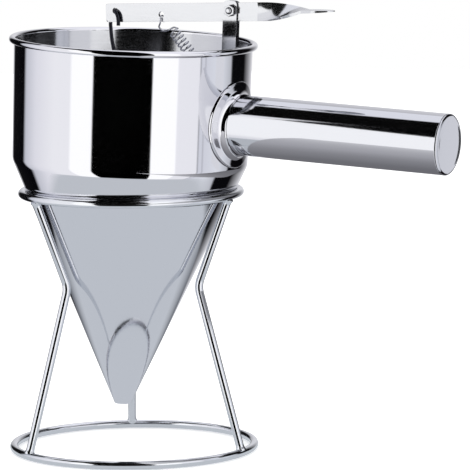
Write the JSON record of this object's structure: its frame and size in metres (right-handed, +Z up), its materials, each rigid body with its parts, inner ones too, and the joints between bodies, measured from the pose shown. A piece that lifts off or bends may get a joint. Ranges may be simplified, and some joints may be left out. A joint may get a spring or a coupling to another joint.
{
  "type": "dispensing funnel",
  "caption": "Steel dispensing funnel with a horizontal tube handle and a sprung thumb lever that lifts a plug from its outlet, seated in a wire ring stand.",
  "frame": {"origin": "under the middle of the overall length, on the surface that the stand rests on", "axes": "+X along the handle, away from the bowl; +Y to the rear; +Z up, out of the bowl"},
  "size_m": [0.255, 0.1336, 0.2435],
  "materials": {
    "polished_steel": "mirror polished stainless steel",
    "brushed_steel": "satin stainless steel",
    "spring_steel": "drawn stainless spring wire"
  },
  "bodies": {
    "stand": {"stand_base_ring": "polished_steel", "stand_seat_ring": "polished_steel", "stand_leg_handle_side": "polished_steel", "stand_leg_rear": "polished_steel", "stand_leg_front": "polished_steel"},
    "funnel": {"bowl": "polished_steel", "cone": "polished_steel", "handle_flange": "polished_steel", "handle_tube": "polished_steel", "handle_end_cap": "polished_steel", "lever_bracket": "brushed_steel", "pivot_screw": "brushed_steel", "pivot_nut": "brushed_steel", "return_spring": "spring_steel"},
    "lever": {"lever": "brushed_steel"},
    "valve": {"valve_rod": "polished_steel", "valve_plug": "brushed_steel"}
  },
  "joints": [
    {"name": "funnel_lift", "type": "slide", "parent": "stand", "child": "funnel", "axis": [0, 0, 1], "range_m": [0, 0.15]},
    {"name": "lever_pivot", "type": "hinge", "parent": "funnel", "child": "lever", "pos_m": [0.00187, 0, 0.23828], "axis": [0, 1, 0], "range_deg": [0, 10], "stiffness_Nm_per_rad": 0.4, "springref_deg": -14.32, "deforming": ["return_spring"]},
    {"name": "valve_lift", "type": "slide", "parent": "funnel", "child": "valve", "axis": [0.048, 0, 0.9988], "range_m": [0, 0.0125]}
  ],
  "couplings": [
    {"joint": "valve_lift", "follows": "lever_pivot", "m_per_rad": 0.0703}
  ]
}
